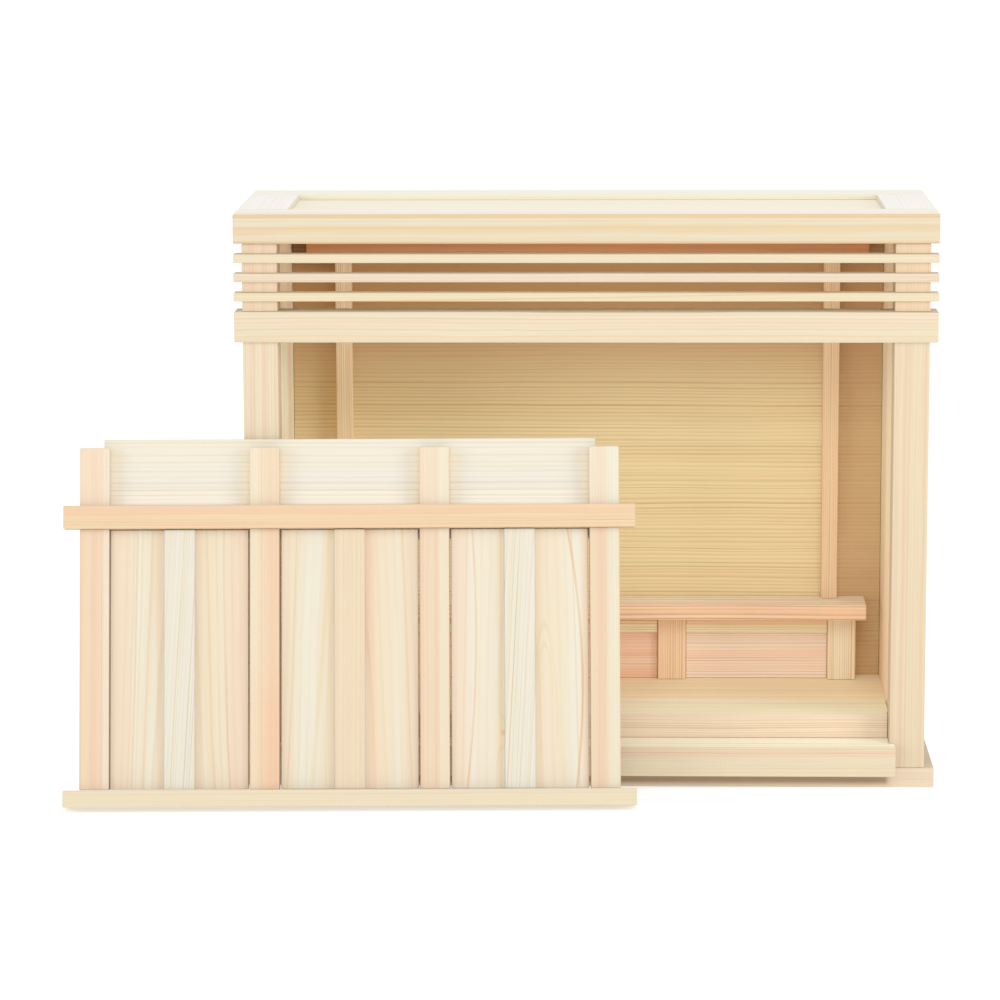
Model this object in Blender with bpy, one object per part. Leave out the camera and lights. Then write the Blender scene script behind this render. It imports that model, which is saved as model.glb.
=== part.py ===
# Household altar cabinet in plain cypress. A box case stands on a base board and four posts. It is
# open at the front and holds a stepped floor, a low altar shelf and three slats over its lintel.
# The case's own three-door front has been lifted out and leans on the left front post.
#
# Units are metres. +Z is up, +X is the viewer's right and the front faces -Y.
# The origin is the middle of the underside of the case.

from math import asin
from math import cos
from math import radians
from math import tan

import bmesh
import bpy

# Every piece
GAP = 0.0003  # left between two pieces that touch
EASED_EDGE = 0.0005  # flat cut along each sharp edge
CUT_REACH = 0.005  # how far an open notch's cutter runs past the wood

# Case: outline
CASE_WIDTH = 0.550  # across the top frame, the slats and the lintel
CASE_DEPTH = 0.195  # top frame, front to back
CASE_HEIGHT = 0.4575

# Case: base board and posts
BASE_THICKNESS = 0.0159
BASE_LIP = 0.008  # base board outside the posts, each side
POST_WIDTH = 0.0275
FRONT_POST_DEPTH = 0.030
REAR_POST_DEPTH = 0.021
POST_SIDE_INSET = 0.0063  # from the end of the top frame
POST_FACE_INSET = 0.003  # behind the face of the top frame

# Case: walls
SIDE_PANEL_THICKNESS = 0.008
SIDE_PANEL_INSET = 0.0019  # its inner face, outside the inner faces of the posts
SIDE_PANEL_TONGUE = 0.005  # let into the front posts
BACK_PANEL_THICKNESS = 0.006

# Case: top
TOP_RAIL_WIDTH = 0.040
TOP_RAIL_THICKNESS = 0.023
TOP_PANEL_THICKNESS = 0.005
TOP_PANEL_RECESS = 0.0043
TOP_PANEL_TONGUE = 0.006

# Case: lintel and slats
LINTEL_HEIGHT = 0.024
LINTEL_DEPTH = 0.0236
SLAT_NAMES = ("lower", "middle", "upper")
SLAT_HEIGHT = 0.0068
SLAT_DEPTH = 0.0115
SLAT_SPACE = 0.0083  # between the lintel, the slats and the top frame

# Case: floor and its two steps
FLOOR_TOP = 0.0545
FLOOR_THICKNESS = 0.012
FLOOR_TONGUE = 0.003  # let into the side panels
UPPER_STEP_THICKNESS = 0.0188
UPPER_STEP_DEPTH = 0.054
UPPER_STEP_SETBACK = 0.0185  # behind the face of the front posts
UPPER_STEP_SIDE_PLAY = 0.0007
LOWER_STEP_PROUD = 0.013  # in front of the front posts
LOWER_STEP_LAP = 0.0041  # over the inner edge of each front post
LOWER_STEP_DROP = 0.0045  # over the top edge of the base board

# Altar shelf
SHELF_RISE = 0.0672  # top of its board above the floor
SHELF_THICKNESS = 0.013
SHELF_DEPTH = 0.039
SHELF_SIDE_SPACE = 0.0135  # between the board and each side panel
LEG_WIDTH = 0.023
LEG_DEPTH = 0.020
LEG_END_INSET = 0.0076
SHELF_RAIL_HEIGHT = 0.0145
SHELF_RAIL_THICKNESS = 0.010
SHELF_RAIL_SETBACK = 0.002
SHELF_PANEL_THICKNESS = 0.005
SHELF_PANEL_SETBACK = 0.006

# Frame over the altar shelf
INNER_POST_SIDE = 0.013
INNER_POST_INSET = 0.023  # from the end of the shelf board
INNER_BEAM_HEIGHT = 0.030
INNER_BEAM_DEPTH = 0.021

# Three-door front
FRONT_SIDE_PLAY = 0.018  # each side, in the opening that it is made for
FRONT_HEAD_PLAY = 0.0146  # under the lintel
SILL_HEIGHT = 0.0132
SILL_PROUD = 0.006  # sill and beam, in front of the stiles
STILE_WIDTH = 0.0233
STILE_DEPTH = 0.010
STILE_END_INSET = 0.0124
STILE_HEAD = 0.0073  # top of the stiles below the top of the upper board
BEAM_DROP = 0.0528  # top of the beam below the top of the upper board
BEAM_HEIGHT = 0.0182
UPPER_BOARD_THICKNESS = 0.0067
UPPER_BOARD_LAP = 0.0053  # over the back of each outer stile
UPPER_BOARD_DROP = 0.008  # behind the doors, below the beam
DOOR_THICKNESS = 0.0062
DOOR_SETBACK = 0.0035
DOOR_SIDE_GAP = 0.0012
LEFT_DOOR_GAP = 0.0005  # beside the outer left stile, where light would show through a wider one
DOOR_FOOT_GAP = 0.0005
DOOR_HEAD_GAP = 0.0008
STRIP_WIDTH = 0.0237
STRIP_THICKNESS = 0.004

# Where the three-door front leans
FRONT_SHIFT = -0.1829  # its middle, across
FRONT_TURN = 1.91  # degrees, its right end further back
FOOT_DISTANCE = 0.0676  # from the front posts to the back edge of its sill

# Places worked out from the sizes
case_front = -CASE_DEPTH / 2
case_back = CASE_DEPTH / 2
post_front = case_front + POST_FACE_INSET
post_back = case_back - POST_FACE_INSET
post_outer = CASE_WIDTH / 2 - POST_SIDE_INSET
post_inner = post_outer - POST_WIDTH
wall_inner = post_inner + SIDE_PANEL_INSET
back_wall = post_back - REAR_POST_DEPTH
base_top = BASE_THICKNESS + GAP
frame_bottom = CASE_HEIGHT - TOP_RAIL_THICKNESS
ceiling = frame_bottom - GAP
slat_pitch = SLAT_HEIGHT + SLAT_SPACE
lintel_top = frame_bottom - SLAT_SPACE - len(SLAT_NAMES) * slat_pitch
lintel_bottom = lintel_top - LINTEL_HEIGHT
upper_step_front = post_front + UPPER_STEP_SETBACK
upper_step_back = upper_step_front + UPPER_STEP_DEPTH
lower_step_top = FLOOR_TOP - UPPER_STEP_THICKNESS - GAP
shelf_top = FLOOR_TOP + SHELF_RISE
shelf_half = wall_inner - SHELF_SIDE_SPACE
shelf_back = back_wall - GAP
front_half = post_inner - FRONT_SIDE_PLAY
front_height = lintel_bottom - FLOOR_TOP - FRONT_HEAD_PLAY

# Tones of the wood, as sRGB
CREAM = (240, 228, 200)
STRAW = (240, 221, 194)
HONEY = (223, 196, 138)
PEACH = (245, 211, 181)
ROSE = (242, 195, 160)
PALE = (244, 239, 222)

boxes = {}


def linear(value):
    share = value / 255
    if share <= 0.04045:
        return share / 12.92
    return ((share + 0.055) / 1.055) ** 2.4


def wood(name, tone):
    material = bpy.data.materials.new(name)
    material.use_nodes = True
    shader = material.node_tree.nodes["Principled BSDF"]
    shader.inputs["Base Color"].default_value = [linear(value) for value in tone] + [1.0]
    shader.inputs["Roughness"].default_value = 0.62
    shader.inputs["Metallic"].default_value = 0.0
    return material


def box_mesh(name, size, edge):
    shape = bmesh.new()
    bmesh.ops.create_cube(shape, size=1.0)
    bmesh.ops.scale(shape, vec=size, verts=shape.verts)
    if edge:
        bmesh.ops.bevel(
            shape, geom=shape.edges[:], offset=edge, offset_type="OFFSET", segments=1, affect="EDGES"
        )
    mesh = bpy.data.meshes.new(name)
    shape.to_mesh(mesh)
    shape.free()
    return mesh


def place(name, mesh, low, high, parent):
    thing = bpy.data.objects.new(name, mesh)
    thing.location = [(a + b) / 2 for a, b in zip(low, high)]
    thing.parent = parent
    bpy.context.collection.objects.link(thing)
    return thing


def bar(name, low, high, tone, parent=None):
    # A planed length of wood between two corners, with eased edges
    size = [b - a for a, b in zip(low, high)]
    piece = place(name, box_mesh(name, size, EASED_EDGE), low, high, parent)
    piece.data.materials.append(wood(name, tone))
    boxes[name] = (low, high)
    return piece


def cut(low, high, pieces, name):
    # One cutter, taken out of every piece in the list
    size = [b - a for a, b in zip(low, high)]
    cutter = place(name, box_mesh(name, size, 0), low, high, pieces[0].parent)
    cutter.hide_render = True
    cutter.display_type = "WIRE"
    for piece in pieces:
        notch = piece.modifiers.new(name, "BOOLEAN")
        notch.operation = "DIFFERENCE"
        notch.solver = "EXACT"
        notch.object = cutter


def house(piece, hosts):
    # Lets a piece into its neighbours, with the gap all round it
    low, high = boxes[piece.name]
    cut([v - GAP for v in low], [v + GAP for v in high], hosts, piece.name + "_housing")


def make_posts():
    bar(
        "base_board",
        (-post_outer - BASE_LIP, post_front, 0),
        (post_outer + BASE_LIP, post_back, BASE_THICKNESS),
        STRAW,
    )
    fronts = []
    rears = []
    for side, sign in (("left", -1), ("right", 1)):
        left, right = sorted((sign * post_inner, sign * post_outer))
        fronts.append(
            bar(
                "front_post_" + side,
                (left, post_front, base_top),
                (right, post_front + FRONT_POST_DEPTH, ceiling),
                STRAW,
            )
        )
        rears.append(
            bar("rear_post_" + side, (left, back_wall, base_top), (right, post_back, ceiling), STRAW)
        )
    return fronts, rears


def make_walls(fronts, rears):
    # The side panels stand in grooves behind the front posts and in rebates in the rear posts
    panels = []
    wall_back = back_wall + BACK_PANEL_THICKNESS
    for (side, sign), front, rear in zip((("left", -1), ("right", 1)), fronts, rears):
        left, right = sorted((sign * wall_inner, sign * (wall_inner + SIDE_PANEL_THICKNESS)))
        panel = bar(
            "side_panel_" + side,
            (left, post_front + FRONT_POST_DEPTH - SIDE_PANEL_TONGUE, base_top),
            (right, wall_back, ceiling),
            ROSE,
        )
        house(panel, [front, rear])
        panels.append(panel)
    half = wall_inner - GAP
    back = bar("back_panel", (-half, back_wall, base_top), (half, wall_back, ceiling), HONEY)
    house(back, rears)
    return panels


def make_top():
    # Front and rear rails run the whole width, the side rails stand between them
    bottom = frame_bottom
    half = CASE_WIDTH / 2
    inner_front = case_front + TOP_RAIL_WIDTH
    inner_back = case_back - TOP_RAIL_WIDTH
    inner_side = half - TOP_RAIL_WIDTH
    rails = [
        bar("top_rail_front", (-half, case_front, bottom), (half, inner_front, CASE_HEIGHT), CREAM),
        bar("top_rail_rear", (-half, inner_back, bottom), (half, case_back, CASE_HEIGHT), CREAM),
    ]
    for side, sign in (("left", -1), ("right", 1)):
        left, right = sorted((sign * inner_side, sign * half))
        rails.append(
            bar(
                "top_rail_" + side,
                (left, inner_front + GAP, bottom),
                (right, inner_back - GAP, CASE_HEIGHT),
                CREAM,
            )
        )
    top = CASE_HEIGHT - TOP_PANEL_RECESS
    panel = bar(
        "top_panel",
        (-inner_side - TOP_PANEL_TONGUE, inner_front - TOP_PANEL_TONGUE, top - TOP_PANEL_THICKNESS),
        (inner_side + TOP_PANEL_TONGUE, inner_back + TOP_PANEL_TONGUE, top),
        PALE,
    )
    house(panel, rails)


def make_lintel_and_slats(fronts):
    half = CASE_WIDTH / 2
    lintel = bar(
        "lintel", (-half, case_front, lintel_bottom), (half, case_front + LINTEL_DEPTH, lintel_top), STRAW
    )
    house(lintel, fronts)
    for number, name in enumerate(SLAT_NAMES):
        bottom = lintel_top + SLAT_SPACE + number * slat_pitch
        slat = bar(
            "slat_" + name,
            (-half, case_front, bottom),
            (half, case_front + SLAT_DEPTH, bottom + SLAT_HEIGHT),
            CREAM,
        )
        house(slat, fronts)


def make_floor(fronts, panels):
    half = wall_inner + FLOOR_TONGUE
    floor = bar(
        "floor_board",
        (-half, upper_step_back + GAP, FLOOR_TOP - FLOOR_THICKNESS),
        (half, back_wall - GAP, FLOOR_TOP),
        HONEY,
    )
    house(floor, panels)
    # The upper step fills the space between the side panels, round the front posts
    upper_half = wall_inner - UPPER_STEP_SIDE_PLAY
    upper = bar(
        "upper_step_board",
        (-upper_half, upper_step_front, FLOOR_TOP - UPPER_STEP_THICKNESS),
        (upper_half, upper_step_back, FLOOR_TOP),
        CREAM,
    )
    # The lower step laps the front of the posts and of the base board
    lower_half = post_inner + LOWER_STEP_LAP
    lower = bar(
        "lower_step_board",
        (-lower_half, post_front - LOWER_STEP_PROUD, BASE_THICKNESS - LOWER_STEP_DROP),
        (lower_half, upper_step_back, lower_step_top),
        CREAM,
    )
    post_rear = post_front + FRONT_POST_DEPTH + GAP
    behind = upper_step_back + CUT_REACH
    wide = lower_half + CUT_REACH
    for side, sign in (("left", -1), ("right", 1)):
        left, right = sorted((sign * (post_inner - UPPER_STEP_SIDE_PLAY), sign * wide))
        cut(
            (left, post_front, lower_step_top),
            (right, post_rear, FLOOR_TOP + CUT_REACH),
            [upper],
            "upper_step_corner_" + side,
        )
        left, right = sorted((sign * (post_inner - GAP), sign * wide))
        cut(
            (left, post_front - GAP, 0),
            (right, behind, lower_step_top + CUT_REACH),
            [lower],
            "lower_step_corner_" + side,
        )
    cut((-wide, post_front - GAP, 0), (wide, behind, base_top), [lower], "lower_step_rebate")


def make_shelf():
    board_bottom = shelf_top - SHELF_THICKNESS
    bar(
        "shelf_board",
        (-shelf_half, back_wall - SHELF_DEPTH, board_bottom),
        (shelf_half, shelf_back, shelf_top),
        ROSE,
    )
    # Four legs, with a rail and a panel between each two
    leg_front = shelf_back - LEG_DEPTH
    leg_bottom = FLOOR_TOP + GAP
    leg_top = board_bottom - GAP
    outermost = shelf_half - LEG_END_INSET - LEG_WIDTH / 2
    pitch = 2 * outermost / 3
    centres = [-outermost + pitch * number for number in range(4)]
    names = ("outer_left", "inner_left", "inner_right", "outer_right")
    for name, centre in zip(names, centres):
        bar(
            "shelf_leg_" + name,
            (centre - LEG_WIDTH / 2, leg_front, leg_bottom),
            (centre + LEG_WIDTH / 2, shelf_back, leg_top),
            STRAW,
        )
    rail_bottom = leg_top - SHELF_RAIL_HEIGHT
    rail_front = leg_front + SHELF_RAIL_SETBACK
    panel_front = leg_front + SHELF_PANEL_SETBACK
    for name, centre in zip(("left", "middle", "right"), centres):
        left = centre + LEG_WIDTH / 2 + GAP
        right = centre + pitch - LEG_WIDTH / 2 - GAP
        bar(
            "shelf_rail_" + name,
            (left, rail_front, rail_bottom),
            (right, rail_front + SHELF_RAIL_THICKNESS, leg_top),
            STRAW,
        )
        bar(
            "shelf_panel_" + name,
            (left, panel_front, leg_bottom),
            (right, panel_front + SHELF_PANEL_THICKNESS, rail_bottom - GAP),
            ROSE,
        )


def make_inner_frame():
    # Two posts on the shelf board carry the ends of a beam under the top frame
    beam_bottom = ceiling - INNER_BEAM_HEIGHT
    bar(
        "inner_beam",
        (-shelf_half, shelf_back - INNER_BEAM_DEPTH, beam_bottom),
        (shelf_half, shelf_back, ceiling),
        ROSE,
    )
    outer = shelf_half - INNER_POST_INSET
    for side, sign in (("left", -1), ("right", 1)):
        left, right = sorted((sign * (outer - INNER_POST_SIDE), sign * outer))
        bar(
            "inner_post_" + side,
            (left, shelf_back - INNER_POST_SIDE, shelf_top + GAP),
            (right, shelf_back, beam_bottom - GAP),
            ROSE,
        )


def front_lean():
    # The angle at which the top back edge meets the inner front corner of the left post
    turn = radians(FRONT_TURN)
    across = -post_inner - FRONT_SHIFT
    reach = (FOOT_DISTANCE - GAP - across * tan(turn)) * cos(turn)
    return asin(reach / front_height)


def make_front():
    # Its own frame: the middle of the sill's bottom back edge, and z up along the stiles
    stand = bpy.data.objects.new("front_stand", None)
    stand.location = (FRONT_SHIFT, post_front - FOOT_DISTANCE, 0)
    stand.rotation_euler = (-front_lean(), 0, radians(FRONT_TURN))
    bpy.context.collection.objects.link(stand)

    stile_back = -UPPER_BOARD_THICKNESS - GAP
    stile_front = stile_back - STILE_DEPTH
    sill_front = stile_front - SILL_PROUD
    stile_top = front_height - STILE_HEAD
    beam_top = front_height - BEAM_DROP
    beam_bottom = beam_top - BEAM_HEIGHT
    bar("front_sill", (-front_half, sill_front, 0), (front_half, 0, SILL_HEIGHT), CREAM, stand)
    beam = bar(
        "front_beam",
        (-front_half, sill_front, beam_bottom),
        (front_half, stile_back, beam_top),
        PEACH,
        stand,
    )

    # Stiles and beam cross in halved joints
    outermost = front_half - STILE_END_INSET - STILE_WIDTH / 2
    pitch = 2 * outermost / 3
    centres = [-outermost + pitch * number for number in range(4)]
    names = ("outer_left", "inner_left", "inner_right", "outer_right")
    halving = stile_front + STILE_DEPTH / 2
    stiles = []
    for name, centre in zip(names, centres):
        left = centre - STILE_WIDTH / 2
        right = centre + STILE_WIDTH / 2
        stiles.append(
            bar(
                "front_stile_" + name,
                (left, stile_front, SILL_HEIGHT + GAP),
                (right, stile_back, stile_top),
                PEACH,
                stand,
            )
        )
        cut(
            (left - GAP, halving - GAP / 2, beam_bottom - CUT_REACH),
            (right + GAP, stile_back + CUT_REACH, beam_top + CUT_REACH),
            [beam],
            "beam_notch_" + name,
        )
    cut(
        (-front_half, sill_front, beam_bottom - GAP),
        (front_half, halving + GAP / 2, beam_top + GAP),
        stiles,
        "stile_notches",
    )

    board_half = outermost - STILE_WIDTH / 2 + UPPER_BOARD_LAP
    bar(
        "front_upper_board",
        (-board_half, -UPPER_BOARD_THICKNESS, beam_bottom - UPPER_BOARD_DROP),
        (board_half, 0, front_height),
        PALE,
        stand,
    )

    # A door with a raised strip down its middle, in each bay
    door_front = stile_front + DOOR_SETBACK
    door_bottom = SILL_HEIGHT + DOOR_FOOT_GAP
    door_top = beam_bottom - DOOR_HEAD_GAP
    bay_half = (pitch - STILE_WIDTH) / 2
    for name, centre in zip(("left", "middle", "right"), centres):
        middle = centre + pitch / 2
        left_gap = LEFT_DOOR_GAP if name == "left" else DOOR_SIDE_GAP
        bar(
            "door_panel_" + name,
            (middle - bay_half + left_gap, door_front, door_bottom),
            (middle + bay_half - DOOR_SIDE_GAP, door_front + DOOR_THICKNESS, door_top),
            CREAM,
            stand,
        )
        bar(
            "door_strip_" + name,
            (middle - STRIP_WIDTH / 2, door_front - GAP - STRIP_THICKNESS, door_bottom),
            (middle + STRIP_WIDTH / 2, door_front - GAP, door_top),
            PALE,
            stand,
        )


for old in list(bpy.data.objects):
    bpy.data.objects.remove(old)
front_posts, rear_posts = make_posts()
side_panels = make_walls(front_posts, rear_posts)
make_top()
make_lintel_and_slats(front_posts)
make_floor(front_posts, side_panels)
make_shelf()
make_inner_frame()
make_front()
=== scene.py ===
import math

import bpy
from mathutils import Matrix, Vector


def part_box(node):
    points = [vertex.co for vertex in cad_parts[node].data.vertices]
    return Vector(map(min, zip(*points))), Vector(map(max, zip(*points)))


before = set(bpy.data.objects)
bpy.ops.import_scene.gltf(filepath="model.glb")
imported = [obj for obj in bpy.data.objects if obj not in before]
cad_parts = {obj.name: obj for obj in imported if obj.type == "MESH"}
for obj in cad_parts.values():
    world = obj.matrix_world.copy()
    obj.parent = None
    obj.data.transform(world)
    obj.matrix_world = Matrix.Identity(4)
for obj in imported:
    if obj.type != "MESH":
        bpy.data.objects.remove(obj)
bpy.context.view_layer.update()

print("packed model loaded,", len(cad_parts), "pieces of wood")


# Camera at the photo's place. Angles are in degrees, the place is in metres.
cameraView = {
    "place": (0.02998, -3.20243, 0.77676),
    "down": 9.94648,
    "leftwards": 1.7936,
    "roll": -0.22022,
    "lens": 144.26,  # mm, on a frame as wide as the next value
    "frameWidth": 36,
    "sight": 200,  # nothing further off than this is drawn
}


def setCamera(view):
    data = bpy.data.cameras.new("photoCamera")
    data.lens = view["lens"]
    data.sensor_width = view["frameWidth"]
    data.clip_end = view["sight"]
    camera = bpy.data.objects.new("photoCamera", data)
    bpy.context.scene.collection.objects.link(camera)
    heading = Matrix.Rotation(math.radians(view["leftwards"]), 4, "Z")
    tilt = Matrix.Rotation(math.radians(90 - view["down"]), 4, "X")
    roll = Matrix.Rotation(math.radians(view["roll"]), 4, "Z")
    camera.matrix_world = Matrix.Translation(view["place"]) @ heading @ tilt @ roll
    bpy.context.scene.camera = camera


# White studio: an even white surround, softboxes in front, and a faintly glowing white floor.
# "side" is degrees to the right of the front, "height" is degrees above the floor, lengths are metres.
studio = {
    "white": (1, 1, 1, 1),
    "surround": 0.74,
    "softboxes": {
        "frontSoftbox": {"side": 2, "height": 40, "reach": 3.2, "size": 1.7, "watts": 34.0},
        "rightSoftbox": {"side": 56, "height": 12, "reach": 3.0, "size": 1.3, "watts": 42.0},
        "leftSoftbox": {"side": -54, "height": 12, "reach": 3.0, "size": 1.3, "watts": 27.0},
    },
    "aim": (0.0, 0.0, 0.2),
    "floorSize": 60.0,
    "floorDrop": 0.0003,  # under the base board, so that the two never share a plane
    "floorTone": 0.93,
    "floorRoughness": 0.9,
    "floorGlow": 0.33,
    "softness": 1.5,  # how far the view lifts the shades
}


def addSoftbox(name, box, aim):
    data = bpy.data.lights.new(name, "AREA")
    data.shape = "SQUARE"
    data.size = box["size"]
    data.energy = box["watts"]
    light = bpy.data.objects.new(name, data)
    bpy.context.scene.collection.objects.link(light)
    side = math.radians(box["side"])
    height = math.radians(box["height"])
    away = Vector((math.sin(side) * math.cos(height), -math.cos(side) * math.cos(height), math.sin(height)))
    light.location = Vector(aim) + away * box["reach"]
    light.rotation_euler = away.to_track_quat("Z", "Y").to_euler()


def layFloor(room):
    bpy.ops.object.select_all(action="DESELECT")
    bpy.ops.mesh.primitive_plane_add(size=room["floorSize"], location=(0, 0, -room["floorDrop"]))
    floor = bpy.context.object
    floor.name = "studioFloor"
    paper = bpy.data.materials.new("whiteFloorPaper")
    paper.use_nodes = True
    shader = paper.node_tree.nodes["Principled BSDF"]
    tone = room["floorTone"]
    shader.inputs["Base Color"].default_value = (tone, tone, tone, 1)
    shader.inputs["Roughness"].default_value = room["floorRoughness"]
    shader.inputs["Specular IOR Level"].default_value = 0.0
    shader.inputs["Emission Color"].default_value = room["white"]
    shader.inputs["Emission Strength"].default_value = room["floorGlow"]
    floor.data.materials.append(paper)


def buildStudio(room):
    world = bpy.data.worlds.new("whiteSurround")
    world.use_nodes = True
    background = world.node_tree.nodes["Background"]
    background.inputs["Color"].default_value = room["white"]
    background.inputs["Strength"].default_value = room["surround"]
    bpy.context.scene.world = world
    for name, box in room["softboxes"].items():
        addSoftbox(name, box, room["aim"])
    layFloor(room)
    view = bpy.context.scene.view_settings
    view.view_transform = "Standard"
    view.look = "None"
    view.gamma = room["softness"]


setCamera(cameraView)
buildStudio(studio)
print("camera, floor and light set")


class Wire:  # one socket of a material, so that shader maths reads as plain sums
    def __init__(self, tree, socket=None):
        self.tree = tree
        self.socket = socket

    def node(self, kind, settings=None, inputs=None, output=0):
        made = self.tree.nodes.new(kind)
        for name, value in (settings or {}).items():
            setattr(made, name, value)
        for name, value in (inputs or {}).items():
            if isinstance(value, Wire):
                self.tree.links.new(value.socket, made.inputs[name])
            else:
                made.inputs[name].default_value = value
        return Wire(self.tree, made.outputs[output])

    def other(self, output):
        return Wire(self.tree, self.socket.node.outputs[output])

    def maths(self, operation, first, second=0.0):
        return self.node("ShaderNodeMath", {"operation": operation}, {0: first, 1: second})

    def __add__(self, value):
        return self.maths("ADD", self, value)

    def __radd__(self, value):
        return self.maths("ADD", value, self)

    def __sub__(self, value):
        return self.maths("SUBTRACT", self, value)

    def __rsub__(self, value):
        return self.maths("SUBTRACT", value, self)

    def __mul__(self, value):
        return self.maths("MULTIPLY", self, value)

    def __rmul__(self, value):
        return self.maths("MULTIPLY", value, self)

    def __truediv__(self, value):
        return self.maths("DIVIDE", self, value)

    def __pow__(self, value):
        return self.maths("POWER", self, value)

    def __abs__(self):
        return self.maths("ABSOLUTE", self)

    def between(self, low, high):  # 0 at low, 1 at high, with a soft turn at each end
        return self.node("ShaderNodeMapRange", {"interpolation_type": "SMOOTHSTEP"},
                         {"Value": self, "From Min": low, "From Max": high})

    def towards(self, direction):  # how squarely a face looks in a direction
        return self.node("ShaderNodeVectorMath", {"operation": "DOT_PRODUCT"},
                         {0: self, 1: direction}, "Value")

    def noise(self, kind, seed):
        moved = tuple((seed + kind["seed"]) * share for share in kind["spread"])
        place = self.node("ShaderNodeVectorMath", {"operation": "MULTIPLY_ADD"},
                          {0: self, 1: kind["pace"], 2: moved})
        return place.node("ShaderNodeTexNoise", {}, {"Vector": place, "Scale": 1.0, "Detail": kind["detail"],
                                                     "Roughness": kind["roughness"]})

    def lineNoise(self):
        return self.node("ShaderNodeTexNoise", {"noise_dimensions": "1D"},
                         {"W": self, "Scale": 1.0, "Detail": 1.0})

    def mixed(self, first, second):  # this wire is the share of the second colour
        return self.node("ShaderNodeMix", {"data_type": "RGBA"}, {0: self, 6: first, 7: second}, 2)

    def tinted(self, share, colour):
        return self.node("ShaderNodeMix", {"data_type": "RGBA"}, {0: share, 6: self, 7: colour}, 2)


def tone(code):  # a web colour, such as F2DDB8, as the shader wants it
    shares = [int(code[i:i + 2], 16) / 255 for i in (0, 2, 4)]
    return tuple(s / 12.92 if s <= 0.04045 else ((s + 0.055) / 1.055) ** 2.4 for s in shares) + (1.0,)


# Each row is one direction of the board, read in the cabinet's own directions: across its face, through its
# thickness, and along its grain.
grainRuns = {
    "up": ((1, 0, 0), (0, 1, 0), (0, 0, 1)),
    "sideways": ((0, 0, 1), (0, -1, 0), (1, 0, 0)),
    "flat": ((0, 1, 0), (0, 0, 1), (1, 0, 0)),
    "inwards": ((1, 0, 0), (0, 0, -1), (0, 1, 0)),
    "wall": ((0, 1, 0), (-1, 0, 0), (0, 0, 1)),
}
outwards = {"left": (-1, 0, 0), "right": (1, 0, 0), "back": (0, 1, 0)}
upwards = (0, 0, 1)

# The noises in the wood. "pace" is waves to the metre, across, through and along the board, "spread" is how
# far a board's seed moves the noise in the same directions, and "seed" keeps the four noises apart.
seedSpread = (1.0, 0.37, 0.71)
waverNoise = {"pace": (28, 28, 5), "spread": seedSpread, "seed": 0, "detail": 2.0, "roughness": 0.5}
fadingNoise = {"pace": (120, 120, 6), "spread": seedSpread, "seed": 5, "detail": 1.0, "roughness": 0.5}
fibreNoise = {"pace": (1500, 1500, 26), "spread": seedSpread, "seed": 9, "detail": 2.0, "roughness": 0.6}
streakNoise = {"pace": (300, 300, 5), "spread": seedSpread, "seed": 2, "detail": 1.0, "roughness": 0.5}

# How the wood's figure is drawn on every board.
woodFigure = {
    "run": 4,  # years in a run of narrow or wide rings
    "runDrift": 1.6,  # how far such a run shifts the rings, in rings
    "lineFull": 0.9,  # where in its ring a growth line is full
    "fadingEdge": (0.25, 0.7),
    "lineSteady": 0.45,  # share of a fine growth line that never fades
    "zoneEdge": (0.3, 0.7),
    "zoneSeed": 3.1,  # how far the seed moves the zones
    "faceEdge": (0.85, 0.98),  # how squarely a face looks up or outwards before it is tinted
    "outerLineShare": 0.6,
    "bandCore": 0.3,  # share of a band's half width that has its full colour
    "strongSteady": 0.6,  # share of a strong growth line that never fades
    "archFade": 0.01,
    "knotColour": "B5803F",
    "knotShare": 0.6,
    "knotLength": 1.5,  # times its width
    "knotEdge": (0.2, 1.0),
    "swirlLength": 2.5,  # of the lines round a knot, times their width
    "swirlEdge": (0.4, 3.2),
    "swirlPush": 1.2,
    "boardSeed": 3.7,  # between two boards of one look
}

# How light plays on every board: fine fibre, soft streaks, dark growth lines and duller end grain.
woodSurface = {
    "fibreTint": 2.0,
    "streakTint": 1.4,
    "endEdge": (0.8, 0.98),
    "endShade": 0.08,
    "roughness": 0.58,
    "fibreDull": 0.16,
    "lineGloss": 0.08,
    "endDull": 0.12,
    "bumpStrength": 0.3,
    "bumpDistance": 0.0002,
    "fibreHeight": 0.5,
    "lineHeight": 0.5,
    "specular": 0.28,
}

# Bare planed cypress. Lengths are in metres, measured from the board's middle across and along its grain.
plainCypress = {
    "grain": "sideways",
    "pale": "F0E0BC",
    "warm": "ECCFA2",
    "line": "CC9858",
    "ring": 0.0022,  # mean width of a year's growth
    "pith": (0.6, 0.25),  # where the heart of the log lies, across and through the board
    "waver": 0.0012,
    "lineShare": 0.55,
    "lineWidth": 0.45,
    "evenness": 0.25,  # how alike the lines are in strength
    "zone": 0.009,  # width of the soft pale and warm stripes
    "fibre": 0.06,
    "taper": 0.0,  # above 0, the growth lines arch as on a flat-sawn board
    "bands": [],  # across, half width, colour, share
    "growthLines": [],  # across at the foot, the middle and the head, half width, colour, share
    "arches": [],  # across, height of the apex, how wide it opens, half width, colour, share
    "knots": [],  # across, along, size
    "patches": [],  # across, half width, along, half length, softness, colour, share
    "paintedTopLight": None,  # colour and share of painted light from above on the faces that look up
    "outerFace": None,  # the case's side that it looks to, with its own pale, warm and line colours; the painted light and shade of the board's other faces stay off it
    "seed": 1.0,
}


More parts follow.
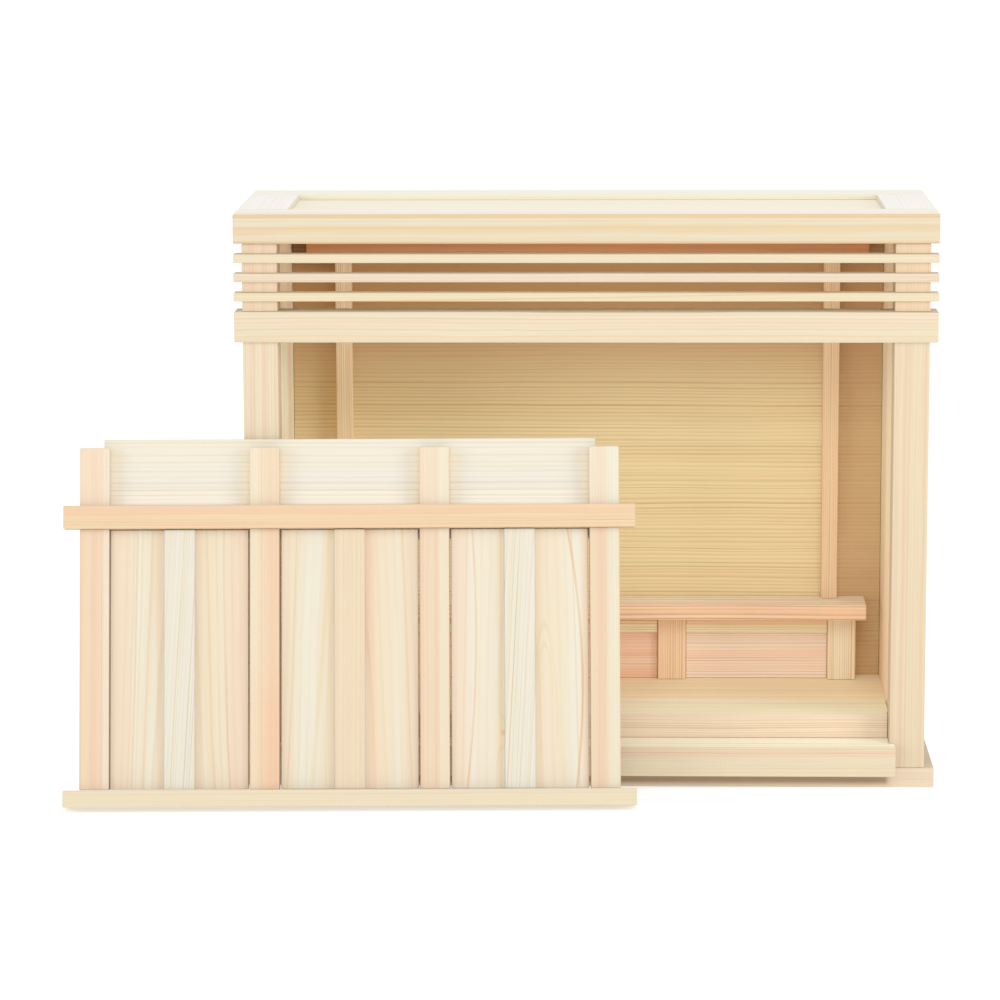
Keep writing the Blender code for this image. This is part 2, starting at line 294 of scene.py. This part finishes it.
def ringDistance(grain, look):  # how far each point is from the heart of the log
    across = grain.node("ShaderNodeSeparateXYZ", {}, {"Vector": grain})
    depth = across.other("Y")
    along = across.other("Z")
    waver = grain.noise(waverNoise, look["seed"]) - 0.5
    distance = ((across - look["pith"][0]) ** 2 + (depth - look["pith"][1]) ** 2) ** 0.5
    distance = distance + waver * (2 * look["waver"])
    if look["taper"]:
        distance = distance + along * look["taper"]
    for place, height, size in look["knots"]:
        length = size * woodFigure["swirlLength"]
        gap = (((across - place) / size) ** 2 + ((along - height) / length) ** 2) ** 0.5
        swirl = 1 - gap.between(*woodFigure["swirlEdge"])
        distance = distance + swirl * (woodFigure["swirlPush"] * size)
    return across, along, waver, distance


def fineLines(grain, look, distance):  # a thin dark line ends each year's growth, and fades in and out
    ring = look["ring"]
    rings = distance / ring + (distance / (woodFigure["run"] * ring)).lineNoise() * woodFigure["runDrift"]
    ringShare = grain.maths("FRACT", rings)
    full = woodFigure["lineFull"]
    late = ringShare.between(1 - look["lineWidth"], full) * (1 - ringShare.between(full, 1.0))
    strength = grain.node("ShaderNodeTexWhiteNoise", {"noise_dimensions": "1D"},
                          {"W": grain.maths("FLOOR", rings) + look["seed"]})
    fading = grain.noise(fadingNoise, look["seed"]).between(*woodFigure["fadingEdge"])
    steady = woodFigure["lineSteady"]
    evenness = look["evenness"]
    late = late * (evenness + (1 - evenness) * strength ** 2) * (steady + (1 - steady) * fading)
    return late, fading


# the board's stripes, strong growth lines, arches, knots and patches; on some boards the stripes and patches
# are painted light and shade
def drawnFigure(colour, look, across, along, waver, fading, half):
    for place, width, code, share in look["bands"]:
        gap = abs(across - place + waver * (2 * look["waver"]))
        colour = colour.tinted((1 - gap.between(width * woodFigure["bandCore"], width)) * share, tone(code))
    steady = woodFigure["strongSteady"]
    for foot, middle, head, width, code, share in look["growthLines"]:
        bend = (head + foot - 2 * middle) / (2 * half ** 2)
        slope = (head - foot) / (2 * half)
        gap = abs(across - middle - along * slope - along * along * bend + waver * look["waver"])
        colour = colour.tinted((1 - gap.between(0.0, width)) * (steady + (1 - steady) * fading) * share,
                               tone(code))
    for place, apex, opening, width, code, share in look["arches"]:
        gap = abs((across - place) ** 2 / opening + along - apex + waver * woodFigure["archFade"])
        belowApex = 1 - (along - apex).between(0.0, woodFigure["archFade"])
        colour = colour.tinted((1 - gap.between(0.0, width)) * belowApex * share, tone(code))
    for place, height, size in look["knots"]:
        length = size * woodFigure["knotLength"]
        gap = (((across - place) / size) ** 2 + ((along - height) / length) ** 2) ** 0.5
        colour = colour.tinted((1 - gap.between(*woodFigure["knotEdge"])) * woodFigure["knotShare"],
                               tone(woodFigure["knotColour"]))
    for place, width, height, length, softness, code, share in look["patches"]:
        beside = abs(across - place).between(width - softness, width + softness)
        beyond = abs(along - height + waver * softness).between(length - softness, length + softness)
        colour = colour.tinted((1 - beside) * (1 - beyond) * share, tone(code))
    return colour


def linedFaces(colour, look, facing, zone, late):  # painted light on an upper face, the fine lines, and an outer face in its own plainer colours without the painted light and shade
    if look["paintedTopLight"]:
        code, share = look["paintedTopLight"]
        colour = colour.tinted(facing.towards(upwards).between(*woodFigure["faceEdge"]) * share, tone(code))
    colour = colour.tinted(late * look["lineShare"], tone(look["line"]))
    if look["outerFace"]:
        side, pale, warm, line = look["outerFace"]
        outside = zone.mixed(tone(pale), tone(warm)).tinted(late * woodFigure["outerLineShare"], tone(line))
        colour = colour.tinted(facing.towards(outwards[side]).between(*woodFigure["faceEdge"]), outside)
    return colour


def cypress(name, look, centre, half, turn):
    material = bpy.data.materials.new(name)
    material.use_nodes = True
    tree = material.node_tree
    shader = tree.nodes["Principled BSDF"]
    start = Wire(tree)
    run = Matrix(grainRuns[look["grain"]]) @ turn.inverted()
    grain = start.node("ShaderNodeMapping", {"vector_type": "POINT"}, {
        "Vector": start.node("ShaderNodeTexCoord", {}, {}, "Object"),
        "Location": -(run @ centre),
        "Rotation": run.to_euler("XYZ"),
    })
    facing = start.node("ShaderNodeNewGeometry", {}, {}, "Normal")
    across, along, waver, distance = ringDistance(grain, look)
    late, fading = fineLines(grain, look, distance)
    zone = distance / look["zone"] + look["seed"] * woodFigure["zoneSeed"] + waver
    zone = zone.lineNoise().between(*woodFigure["zoneEdge"])
    colour = zone.mixed(tone(look["pale"]), tone(look["warm"]))
    colour = drawnFigure(colour, look, across, along, waver, fading, half)
    colour = linedFaces(colour, look, facing, zone, late)

    fibre = grain.noise(fibreNoise, look["seed"])
    streak = grain.noise(streakNoise, look["seed"])
    endDirection = tuple(run.inverted() @ Vector((0, 0, 1)))
    endGrain = abs(facing.towards(endDirection)).between(*woodSurface["endEdge"])
    shade = 1 + (fibre - 0.5) * look["fibre"] * woodSurface["fibreTint"]
    shade = shade + (streak - 0.5) * look["fibre"] * woodSurface["streakTint"]
    shade = shade - endGrain * woodSurface["endShade"]
    colour = start.node("ShaderNodeVectorMath", {"operation": "SCALE"}, {0: colour, "Scale": shade})
    tree.links.new(colour.socket, shader.inputs["Base Color"])
    rough = woodSurface["roughness"] + (fibre - 0.5) * woodSurface["fibreDull"]
    rough = rough - late * woodSurface["lineGloss"] + endGrain * woodSurface["endDull"]
    tree.links.new(rough.socket, shader.inputs["Roughness"])
    bump = start.node("ShaderNodeBump", {}, {
        "Strength": woodSurface["bumpStrength"],
        "Distance": woodSurface["bumpDistance"],
        "Height": fibre * woodSurface["fibreHeight"] + late * woodSurface["lineHeight"],
    })
    tree.links.new(bump.socket, shader.inputs["Normal"])
    shader.inputs["Specular IOR Level"].default_value = woodSurface["specular"]
    return material


upright = Matrix.Identity(3)


def dress(names, look, turn=upright):
    for i, name in enumerate(names):
        low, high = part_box(name)
        size = turn.inverted() @ (high - low)
        half = abs(Vector(grainRuns[look["grain"]][2]).dot(size)) / 2
        own = dict(look, seed=look["seed"] + woodFigure["boardSeed"] * i)
        wood = cypress(name + "_cypress", own, (low + high) / 2, half, turn)
        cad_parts[name].material_slots[0].material = wood


# Roof: a frame of four rails, its front rail creamy with a peach upper edge, and a nearly white sunk panel.
# The rails' top faces carry painted light from above, and the inner faces of the rear and side rails are
# painted paler as painted light inside the roof.
roofOutside = ("BAAF92", "B8A27C", "9D713D")
frontRail = dict(plainCypress, pale="B3A688", warm="B3996F", line="9D713D", ring=0.0034, pith=(0.5, 0.2),
                 lineShare=0.5, seed=3.0, paintedTopLight=("F5EDDC", 0.9),
                 bands=[(0.0105, 0.0035, "B38A50", 0.65), (-0.0110, 0.0012, "A67B4F", 0.6)],
                 growthLines=[(0.0005, 0.0012, 0.0028, 0.0012, "A6743D", 0.22)])
rearRail = dict(frontRail, pale="D0CAAE", warm="CEC2A0", line="BA9B65", bands=[], growthLines=[], seed=4.0,
                outerFace=("back", *roofOutside))
sideRail = dict(rearRail, grain="inwards", lineShare=0.2, paintedTopLight=("F4EFE6", 0.92))
leftRail = dict(sideRail, seed=6.0, outerFace=("left", *roofOutside))
rightRail = dict(sideRail, seed=9.7, outerFace=("right", *roofOutside))
roofPanel = dict(plainCypress, grain="flat", pale="F1E7D0", warm="F1E2BF", line="F1CFA1", lineShare=0.35,
                 seed=5.0)
dress(["top_rail_front"], frontRail)
dress(["top_rail_rear"], rearRail)
dress(["top_rail_left"], leftRail)
dress(["top_rail_right"], rightRail)
dress(["top_panel"], roofPanel)
print("roof dressed")

# Lintel and the three slats over the opening.
lintelLook = dict(plainCypress, pale="B8AC8B", warm="B8A07B", line="957344", lineShare=0.85, evenness=0.3,
                  waver=0.0022, ring=0.0026, zone=0.005, fibre=0.08, seed=8.0,
                  bands=[(0.006, 0.008, "BC9E82", 0.4)])
slat = dict(plainCypress, lineShare=1.1, zone=0.003, ring=0.0016, fibre=0.08)
upperSlat = dict(slat, pale="B8AB8A", warm="B8A27C", line="A68654", seed=11.0)
middleSlat = dict(slat, pale="B9A58D", warm="B69D7A", line="A17D50", seed=14.0)
lowerSlat = dict(slat, pale="BAAB83", warm="B8A079", line="A3773E", lineShare=1.0, seed=17.0,
                 growthLines=[(-0.0040, -0.0005, 0.0060, 0.0010, "AA7738", 0.6)])
dress(["lintel"], lintelLook)
dress(["slat_upper"], upperSlat)
dress(["slat_middle"], middleSlat)
dress(["slat_lower"], lowerSlat)
print("lintel and slats dressed")

# Posts, straight grained, with warmer and yellower stripes. The front ones are pinker between the slats.
post = dict(plainCypress, grain="up", pale="B7A47E", warm="B59776", line="9E7549", ring=0.0024,
            pith=(0.5, 0.15), waver=0.0006, zone=0.005)
leftPost = dict(post, pale="BAA985", warm="B89C7D", seed=20.0,
                patches=[(0.0, 0.02, 0.185, 0.030, 0.006, "BC9570", 0.5)])
rightPost = dict(post, seed=23.7, patches=[(0.0, 0.02, 0.185, 0.030, 0.006, "BF9A72", 0.6)])
rearPost = dict(post, seed=24.0)
dress(["front_post_left"], leftPost)
dress(["front_post_right"], rightPost)
dress(["rear_post_left", "rear_post_right"], rearPost)
print("posts dressed")

# Walls: peach side panels, pinker low down, and one wide honey-coloured back panel with level grain. Inside,
# the side panels are painted pale as painted light, and the back panel carries painted shade at its top, its
# ends and its top corners; the outer faces keep the wood's own tone.
wallOutside = ("BFAD88", "BD9F7A", "A0744A")
wall = dict(plainCypress, grain="wall", line="F7B282", lineShare=1.0, fibre=0.08,
            bands=[(-0.028, 0.014, "F7D3AC", 0.6), (0.030, 0.024, "F7C9A0", 0.6)],
            patches=[(0.0, 0.1, -0.130, 0.060, 0.040, "F7CBA8", 0.55),
                     (0.0, 0.1, 0.185, 0.040, 0.008, "F7D9A8", 0.7)])
leftWall = dict(wall, pale="F7F7CE", warm="F7EFC2", seed=30.0, outerFace=("left", *wallOutside))
rightWall = dict(wall, pale="F7F2C4", warm="F7E5B5", seed=33.7, outerFace=("right", *wallOutside))
# painted shade inside the back panel: under the roof, at its ends and, darkest, in its two top corners
shadedHead = "9C5A14"
shadedEnd = "A8703A"
cornerShade = "5E2C0A"
backPanel = dict(plainCypress, pale="EDCD8A", warm="EAC784", line="A47436", lineShare=0.75, lineWidth=0.6,
                 evenness=0.5, ring=0.0030, pith=(0.9, 0.3), waver=0.0022, zone=0.016, fibre=0.06, seed=33.0,
                 bands=[(0.195, 0.160, shadedHead, 0.88)],
                 patches=[(0.195, 0.022, -0.235, 0.026, 0.006, cornerShade, 0.95),
                          (0.195, 0.022, 0.235, 0.026, 0.006, cornerShade, 0.95),
                          (0.0, 0.25, -0.238, 0.033, 0.010, shadedEnd, 0.14),
                          (0.0, 0.25, 0.238, 0.033, 0.010, shadedEnd, 0.70)],
                 outerFace=("back", "CFB68A", "CBAD7C", "A0763F"))
dress(["side_panel_left"], leftWall)
dress(["side_panel_right"], rightWall)
dress(["back_panel"], backPanel)
print("walls dressed")

# Base, with a painted brown shadow under the lower step, floor and the two steps, whose top faces carry
# painted light from above.
# the base board's brown patch is a painted shadow under the lower step; its back face keeps the board's own
# colours
baseBoard = dict(plainCypress, pale="BCA687", warm="BA9E7C", line="A1794C", seed=40.0,
                 patches=[(0.0, 0.0055, 0.0, 0.240, 0.003, "664A26", 0.9)],
                 outerFace=("back", "BCA687", "BA9E7C", "A1794C"))
floorBoard = dict(plainCypress, grain="flat", pale="F7E3B0", warm="F7D7A2", line="BD8951", lineShare=0.8,
                  fibre=0.08, seed=43.0)
upperStep = dict(plainCypress, grain="flat", pale="D2B896", warm="CEAE8A", line="9E7646", lineShare=0.9,
                 lineWidth=0.55, evenness=0.4, ring=0.0016, pith=(0.32, 0.5), zone=0.004, fibre=0.1,
                 seed=46.0, paintedTopLight=("F7EFC2", 0.95))
lowerStep = dict(plainCypress, pale="BBAA87", warm="B7A07A", line="977040", lineShare=0.95, fibre=0.08,
                 seed=49.0, bands=[(0.0065, 0.004, "BE997A", 0.6)], paintedTopLight=("F7F0CC", 0.95))
dress(["base_board"], baseBoard)
dress(["floor_board"], floorBoard)
dress(["upper_step_board"], upperStep)
dress(["lower_step_board"], lowerStep)
print("base, floor and steps dressed")

# Altar shelf: rosy board with painted light on its top face, rails and panels between paler legs. The left
# and middle panels are painted darker than the right one, as painted shade of the leaning front.
shelfBoard = dict(plainCypress, pale="F3C18D", warm="F1B184", line="A3673D", lineShare=1.4, lineWidth=0.6,
                  evenness=0.45, ring=0.0030, fibre=0.12, seed=52.0, paintedTopLight=("F7E9C8", 0.9))
shelfRail = dict(plainCypress, pale="F7EEB2", warm="F7D498", line="CD8546", lineShare=1.5, lineWidth=0.55,
                 evenness=0.5, ring=0.0020, fibre=0.12, seed=53.0,
                 bands=[(0.0040, 0.0050, "F7BC90", 0.85), (-0.0062, 0.001, "F7F7C9", 0.8)])
shelfPanel = dict(plainCypress, pale="F4C29A", warm="F4B186", line="C98055", lineShare=1.1, lineWidth=0.6,
                  evenness=0.4, fibre=0.1, seed=55.0)
rightShelfPanel = dict(shelfPanel, pale="F7DCBC", warm="F7CBA8", line="CD8B63", lineShare=0.9, seed=56.0)
shelfLeg = dict(plainCypress, grain="up", pale="F5CD99", warm="F5BE8B", line="B57A48", lineShare=1.3,
                lineWidth=0.55, evenness=0.45, ring=0.0018, pith=(0.5, 0.1), waver=0.0005, zone=0.006,
                fibre=0.09, seed=58.0)
rightShelfLeg = dict(shelfLeg, pale="F7E4B7", warm="F6D8A8", seed=64.0)
dress(["shelf_board"], shelfBoard)
dress(["shelf_rail_left", "shelf_rail_middle", "shelf_rail_right"], shelfRail)
dress(["shelf_panel_left", "shelf_panel_middle"], shelfPanel)
dress(["shelf_panel_right"], rightShelfPanel)
dress(["shelf_leg_outer_left", "shelf_leg_inner_left", "shelf_leg_inner_right"], shelfLeg)
dress(["shelf_leg_outer_right"], rightShelfLeg)
print("altar shelf dressed")

# The frame that stands on the shelf, under the roof.
innerBeam = dict(plainCypress, pale="C57640", warm="B56132", line="8E3E12", lineShare=0.5, fibre=0.08,
                 seed=60.0)
# the left inner post is a paler copy of the right one, as painted light on a post that lies in more shade
leftInnerPost = dict(plainCypress, grain="up", pale="F7DEA8", warm="F7CC95", line="C27D49", lineShare=1.2,
                     lineWidth=0.55, evenness=0.5, ring=0.0016, pith=(0.4, 0.1), waver=0.0005, zone=0.004,
                     fibre=0.1, seed=62.0)
rightInnerPost = dict(leftInnerPost, pale="EAC38E", warm="EAB47E", line="A96D3C", seed=63.0)
dress(["inner_beam"], innerBeam)
dress(["inner_post_left"], leftInnerPost)
dress(["inner_post_right"], rightInnerPost)
print("inner frame dressed")

# The lift-out front leans back against the left post and is turned a little, and so is its grain.
frontLean = {"back": 13.916, "turn": 1.907}  # degrees
leaning = (Matrix.Rotation(math.radians(frontLean["turn"]), 3, "Z")
           @ Matrix.Rotation(math.radians(-frontLean["back"]), 3, "X"))

frontSill = dict(plainCypress, pale="BBAD8D", warm="B8A581", line="A47F4E", lineShare=0.6, fibre=0.07,
                 seed=70.0)
frontBeam = dict(plainCypress, pale="BDA076", warm="BD956E", line="AA703A", lineShare=0.7, ring=0.0026,
                 fibre=0.06, seed=72.0,
                 growthLines=[(-0.0045, -0.0042, -0.0036, 0.0006, "AC6D34", 0.6),
                              (-0.0064, -0.0062, -0.0060, 0.0006, "AC6D34", 0.5),
                              (-0.0022, -0.0018, -0.0012, 0.0006, "AC743E", 0.4)])
# the upper board is painted paler at its foot, where the beam shades it, and paler and warmer beside each
# stile, as painted light where the stiles shade it
stilePlaces = (-0.1986, -0.0662, 0.0662, 0.1986)
upperBoard = dict(plainCypress, pale="C0B8A7", warm="BFB69F", line="A5926B", lineShare=0.75, evenness=0.4,
                  ring=0.004, zone=0.02, fibre=0.06, seed=74.0,
                  bands=[(-0.0150, 0.020, "D8D0BC", 0.9)],
                  patches=[(0.0, 0.030, place, 0.0165, 0.009, "DBC49A", 0.75) for place in stilePlaces],
                  growthLines=[(-0.012, -0.0125, -0.0128, 0.0007, "B8915A", 0.7),
                               (-0.0045, -0.0050, -0.0056, 0.0007, "B09563", 0.4),
                               (0.0020, 0.0012, 0.0006, 0.0006, "B39C71", 0.35)])
# stiles are paler above the beam, and their edges are shaded brown in the narrow gaps beside the doors
leftGapShade = (-0.01165, 0.0004, -0.0335, 0.1045, 0.0004, "7B4A2A", 0.85)
rightGapShade = (0.01165, 0.0004, -0.0335, 0.1045, 0.0004, "7B4A2A", 0.85)
stile = dict(plainCypress, grain="up", ring=0.002, pith=(0.5, 0.12), waver=0.0005, zone=0.006, lineShare=0.6)
outerLeftStile = dict(stile, pale="BEA280", warm="BE9776", line="AD764C", seed=76.0,
                      bands=[(0.0095, 0.0045, "C0B19B", 0.7)],
                      patches=[(0.0, 0.02, 0.112, 0.036, 0.005, "C6B89E", 0.3), rightGapShade])
innerLeftStile = dict(stile, pale="BDA581", warm="BD9B79", line="AD7749", seed=78.0,
                      bands=[(-0.008, 0.006, "BDAE8E", 0.8), (0.006, 0.008, "BE9371", 0.55)],
                      patches=[(0.0, 0.02, 0.112, 0.036, 0.005, "C6B99A", 0.3),
                               (0.006, 0.009, -0.095, 0.050, 0.030, "C3865E", 0.5),
                               leftGapShade, rightGapShade])
innerRightStile = dict(stile, pale="BCA382", warm="BC9777", line="AC774A", seed=80.0,
                       bands=[(0.007, 0.006, "BCB092", 0.8)],
                       patches=[(0.0, 0.02, 0.112, 0.036, 0.005, "C8C0A8", 0.3),
                                leftGapShade, rightGapShade])
outerRightStile = dict(stile, pale="BCA381", warm="BC9776", line="AB764B", seed=82.0,
                       bands=[(0.007, 0.006, "BAB395", 0.9)],
                       patches=[(0.0, 0.02, 0.112, 0.036, 0.005, "C5C3AE", 0.35), leftGapShade])
dress(["front_sill"], frontSill, leaning)
dress(["front_beam"], frontBeam, leaning)
dress(["front_upper_board"], upperBoard, leaning)
dress(["front_stile_outer_left"], outerLeftStile, leaning)
dress(["front_stile_inner_left"], innerLeftStile, leaning)
dress(["front_stile_inner_right"], innerRightStile, leaning)
dress(["front_stile_outer_right"], outerRightStile, leaning)
print("sill, beam, upper board and stiles dressed")

# Doors: flat-sawn boards, sapwood at their middles, warmer towards their edges, with a painted warm shadow
# close beside each strip, and a few strong growth lines that bow along the board.
door = dict(plainCypress, grain="up", line="A97F4E", ring=0.0045, pith=(0.0, 0.03), taper=0.02, waver=0.0025,
            zone=0.012, lineShare=0.6, fibre=0.05)
# the bands at 0.0155 to 0.016 either side of the middle are painted shadow cast by the strip
leftDoor = dict(door, pale="BBB39A", warm="BBA889", seed=84.0,
                bands=[(-0.046, 0.016, "BFA382", 0.7),
                       (0.047, 0.013, "BF9C7C", 0.65),
                       (0.029, 0.014, "BDA57E", 0.5),
                       (-0.0155, 0.004, "C59D75", 0.5),
                       (0.0155, 0.004, "C59D75", 0.55)],
                growthLines=[(-0.0375, -0.0343, -0.0328, 0.0013, "AB7F50", 0.5),
                             (0.0400, 0.0360, 0.0343, 0.0013, "AB754A", 0.55)])
middleDoor = dict(door, pale="BBB39B", warm="BBAB8B", seed=87.0,
                  bands=[(-0.052, 0.010, "BFA384", 0.5),
                         (0.050, 0.014, "BF9F81", 0.5),
                         (0.026, 0.014, "BFA581", 0.6),
                         (-0.0155, 0.004, "C7A87A", 0.6),
                         (0.0160, 0.006, "C79B76", 0.65)],
                  growthLines=[(-0.0490, -0.0445, -0.0412, 0.0013, "AA7E4C", 0.5),
                               (0.0480, 0.0445, 0.0410, 0.0013, "AA7E4C", 0.45),
                               (-0.0300, -0.0220, -0.0160, 0.0030, "B79A64", 0.45)])
rightDoor = dict(door, pale="BDB7A4", warm="BDB096", seed=90.0, knots=[(-0.0135, -0.058, 0.0025)],
                 bands=[(-0.050, 0.016, "C1A485", 0.75),
                        (0.056, 0.012, "C39F72", 0.7),
                        (0.030, 0.016, "BCA882", 0.45),
                        (-0.0155, 0.004, "C7AC80", 0.6),
                        (0.0155, 0.004, "C7AA7A", 0.65)],
                 growthLines=[(-0.0415, -0.0345, -0.0375, 0.0014, "B47931", 0.75),
                              (0.0435, 0.0480, 0.0372, 0.0016, "B47931", 0.8),
                              (-0.0150, -0.0148, -0.0146, 0.0014, "BB9052", 0.5)],
                 arches=[(0.0190, 0.028, 0.0016, 0.006, "BB996C", 0.5),
                         (0.0190, 0.012, 0.0014, 0.005, "BB996C", 0.4)])
strip = dict(plainCypress, grain="up", line="9F8A60", pith=(0.2, 0.1), taper=0.05, waver=0.0010,
             zone=0.005, lineShare=1.0, fibre=0.05)
leftStrip = dict(strip, pale="B9B2A2", warm="B8AE94", seed=93.0)
middleStrip = dict(strip, pale="BAA681", warm="BAA081", line="AB743D", taper=0.004, lineShare=0.6, seed=96.0)
rightStrip = dict(strip, pale="BBB4A3", warm="B7AD91", seed=99.0)
dress(["door_panel_left"], leftDoor, leaning)
dress(["door_panel_middle"], middleDoor, leaning)
dress(["door_panel_right"], rightDoor, leaning)
dress(["door_strip_left"], leftStrip, leaning)
dress(["door_strip_middle"], middleStrip, leaning)
dress(["door_strip_right"], rightStrip, leaning)
print("doors and strips dressed")
